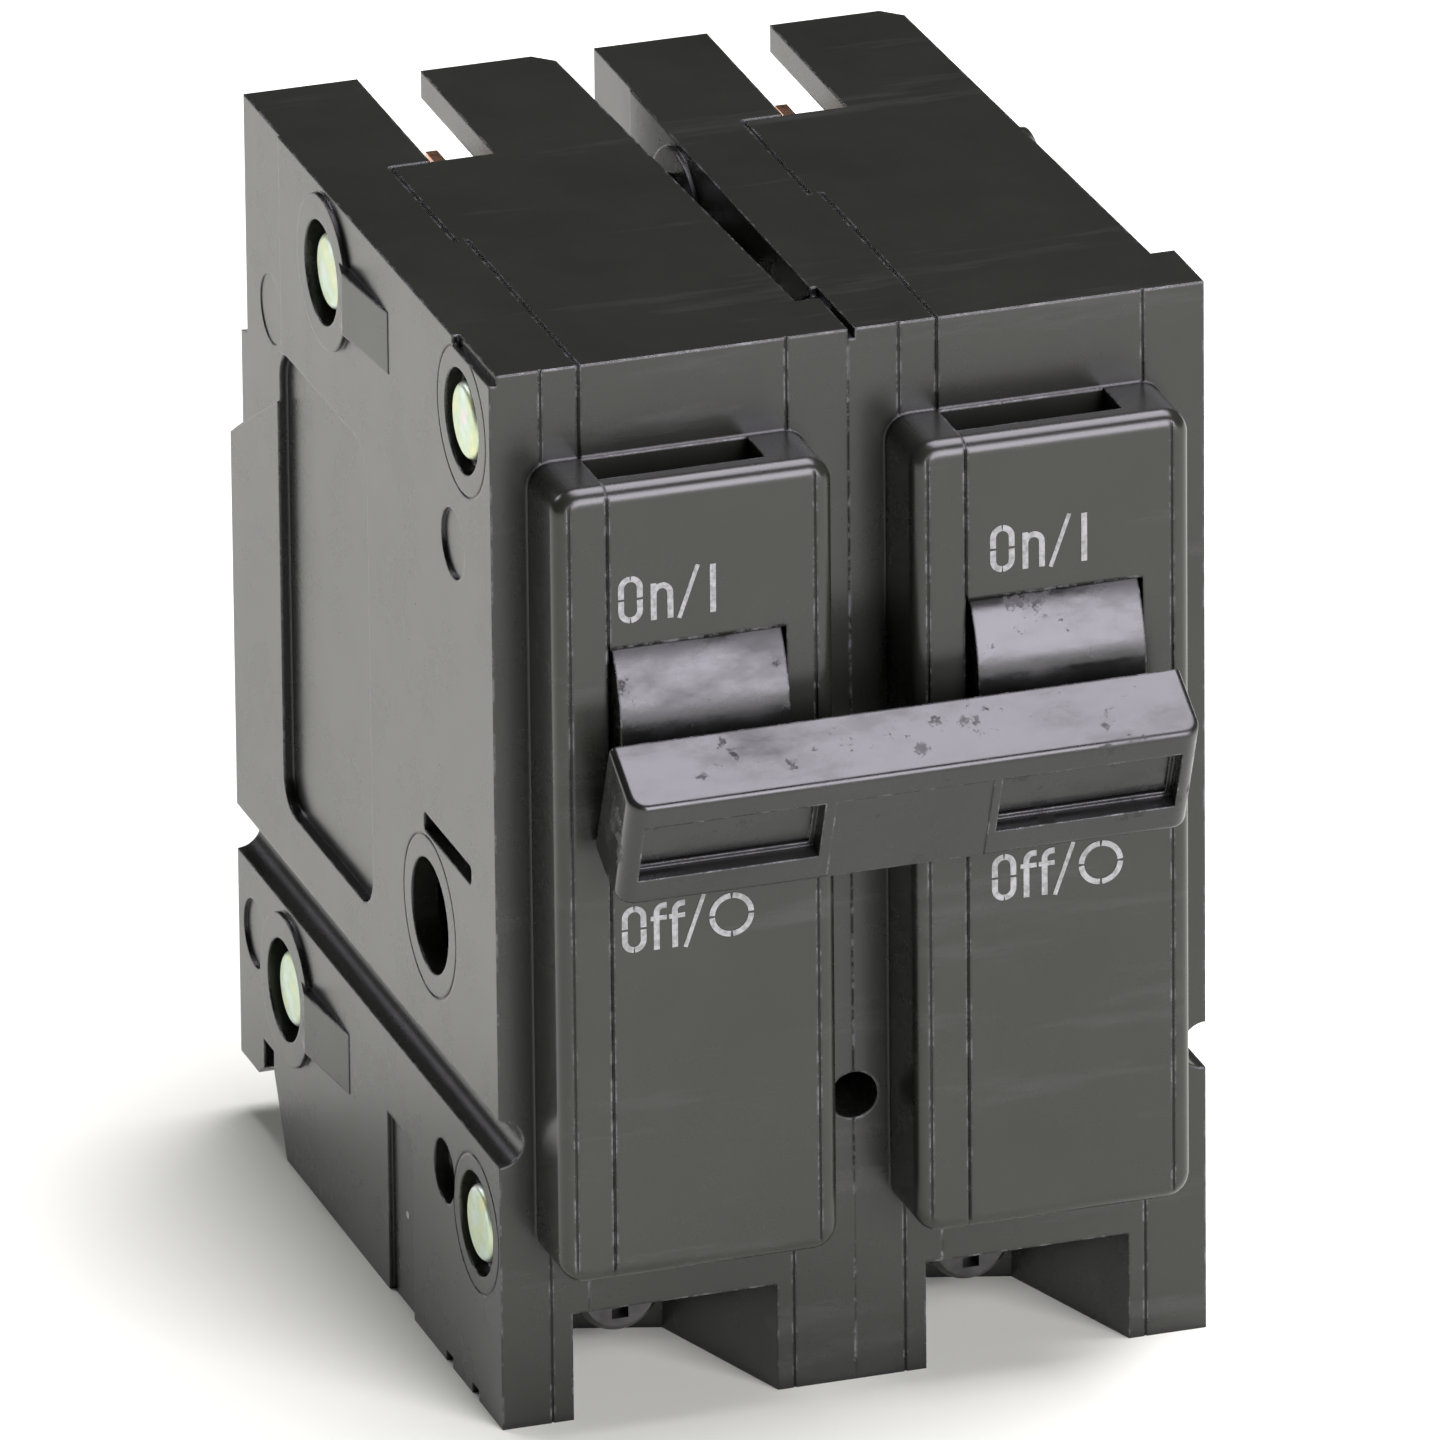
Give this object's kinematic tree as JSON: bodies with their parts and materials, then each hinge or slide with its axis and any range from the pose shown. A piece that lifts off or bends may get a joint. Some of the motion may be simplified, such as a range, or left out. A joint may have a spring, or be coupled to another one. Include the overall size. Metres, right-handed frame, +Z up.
{
  "type": "two-pole circuit breaker",
  "caption": "Plug-on two-pole circuit breaker with tied handles, raised front plates, rear stab jaws, load lugs and a toggle and trip mechanism inside.",
  "frame": {"origin": "middle of the width and of the depth, on the plane of the flat load end", "axes": "+X across the poles to the right as seen from the handles, -Y towards the handles, +Z up towards the line end"},
  "size_m": [0.0516, 0.0728, 0.0774],
  "materials": {
    "housing": "moulded thermoset, satin",
    "handle": "moulded, smooth",
    "trip_bar": "moulded",
    "steel": "zinc plated",
    "screw_steel": "black oxide",
    "copper": "copper sheet",
    "silver": "silver alloy",
    "spring_steel": "spring wire and strip",
    "bimetal": "two-metal strip",
    "lug": "extruded, tin plated",
    "braid": "woven copper",
    "fibre": "vulcanised fibre",
    "rivet": "yellow zinc plate"
  },
  "bodies": {
    "housing": {"left_cover": "housing", "left_base": "housing", "left_handle_pin": "steel", "left_cradle_pin": "steel", "left_armature_pin": "steel", "left_bimetal": "bimetal", "left_magnet_yoke": "steel", "left_load_strap": "copper", "left_calibration_screw": "steel", "left_terminal_lug": "lug", "left_braid": "braid", "left_line_jaw": "copper", "left_jaw_spring": "spring_steel", "left_fixed_contact": "silver", "left_arc_plates": "steel", "left_arc_frame": "fibre", "right_cover": "housing", "right_base": "housing", "right_handle_pin": "steel", "right_cradle_pin": "steel", "right_armature_pin": "steel", "right_bimetal": "bimetal", "right_magnet_yoke": "steel", "right_load_strap": "copper", "right_calibration_screw": "steel", "right_terminal_lug": "lug", "right_braid": "braid", "right_line_jaw": "copper", "right_jaw_spring": "spring_steel", "right_fixed_contact": "silver", "right_arc_plates": "steel", "right_arc_frame": "fibre", "through_rivets": "rivet", "trip_return_spring": "spring_steel"},
    "handle_unit": {"left_handle": "handle", "right_handle": "handle", "handle_tie": "handle", "left_arm_pin": "steel", "right_arm_pin": "steel"},
    "trip_unit": {"trip_bar": "trip_bar"},
    "left_arm": {"left_contact_arm": "copper", "left_moving_contact": "silver"},
    "left_trip_lever": {"left_cradle": "steel", "left_toggle_spring": "spring_steel"},
    "left_armature_leaf": {"left_armature": "steel"},
    "left_pad": {"left_pressure_pad": "steel"},
    "left_screw": {"left_clamp_screw": "screw_steel"},
    "right_arm": {"right_contact_arm": "copper", "right_moving_contact": "silver"},
    "right_trip_lever": {"right_cradle": "steel", "right_toggle_spring": "spring_steel"},
    "right_armature_leaf": {"right_armature": "steel"},
    "right_pad": {"right_pressure_pad": "steel"},
    "right_screw": {"right_clamp_screw": "screw_steel"}
  },
  "joints": [
    {"name": "handle_swing", "type": "hinge", "parent": "housing", "child": "handle_unit", "pos_m": [0.0004, -0.01927, 0.0529], "axis": [-1, 0, 0], "range_deg": [0, 36]},
    {"name": "trip_bar_turn", "type": "hinge", "parent": "housing", "child": "trip_unit", "pos_m": [0.0004, -0.00757, 0.0322], "axis": [1, 0, 0], "range_deg": [0, 10], "stiffness_Nm_per_rad": 0.02, "springref_deg": -11.46},
    {"name": "left_arm_swing", "type": "hinge", "parent": "handle_unit", "child": "left_arm", "pos_m": [-0.0135, -0.01081, 0.05598], "axis": [-1, 0, 0], "range_deg": [-66, 0], "deforming": ["left_toggle_spring", "left_braid"]},
    {"name": "left_trip_lever_drop", "type": "hinge", "parent": "housing", "child": "left_trip_lever", "pos_m": [-0.0135, -0.01027, 0.0394], "axis": [-1, 0, 0], "range_deg": [0, 7], "deforming": ["left_toggle_spring"]},
    {"name": "left_armature_tilt", "type": "hinge", "parent": "housing", "child": "left_armature_leaf", "pos_m": [-0.0135, 0.01013, 0.0204], "axis": [-1, 0, 0], "range_deg": [0, 8]},
    {"name": "left_pad_feed", "type": "slide", "parent": "housing", "child": "left_pad", "axis": [0, 1, 0], "range_m": [0, 0.0032]},
    {"name": "left_screw_turn", "type": "hinge", "parent": "left_pad", "child": "left_screw", "pos_m": [-0.0135, -0.00827, 0.00475], "axis": [0, 1, 0], "range_deg": [0, 1440]},
    {"name": "right_arm_swing", "type": "hinge", "parent": "handle_unit", "child": "right_arm", "pos_m": [0.0119, -0.01081, 0.05598], "axis": [-1, 0, 0], "range_deg": [-66, 0], "deforming": ["right_toggle_spring", "right_braid"]},
    {"name": "right_trip_lever_drop", "type": "hinge", "parent": "housing", "child": "right_trip_lever", "pos_m": [0.0119, -0.01027, 0.0394], "axis": [-1, 0, 0], "range_deg": [0, 7], "deforming": ["right_toggle_spring"]},
    {"name": "right_armature_tilt", "type": "hinge", "parent": "housing", "child": "right_armature_leaf", "pos_m": [0.0119, 0.01013, 0.0204], "axis": [-1, 0, 0], "range_deg": [0, 8]},
    {"name": "right_pad_feed", "type": "slide", "parent": "housing", "child": "right_pad", "axis": [0, 1, 0], "range_m": [0, 0.0032]},
    {"name": "right_screw_turn", "type": "hinge", "parent": "right_pad", "child": "right_screw", "pos_m": [0.0119, -0.00827, 0.00475], "axis": [0, 1, 0], "range_deg": [0, 1440]}
  ],
  "couplings": [
    {"joint": "left_arm_swing", "follows": "handle_swing", "ratio": -1.8333},
    {"joint": "left_trip_lever_drop", "follows": "trip_bar_turn", "ratio": 0.7},
    {"joint": "left_armature_tilt", "follows": "trip_bar_turn", "ratio": 0.8},
    {"joint": "left_screw_turn", "follows": "left_pad_feed", "rad_per_m": 7854},
    {"joint": "right_arm_swing", "follows": "handle_swing", "ratio": -1.8333},
    {"joint": "right_trip_lever_drop", "follows": "trip_bar_turn", "ratio": 0.7},
    {"joint": "right_armature_tilt", "follows": "trip_bar_turn", "ratio": 0.8},
    {"joint": "right_screw_turn", "follows": "right_pad_feed", "rad_per_m": 7854}
  ]
}
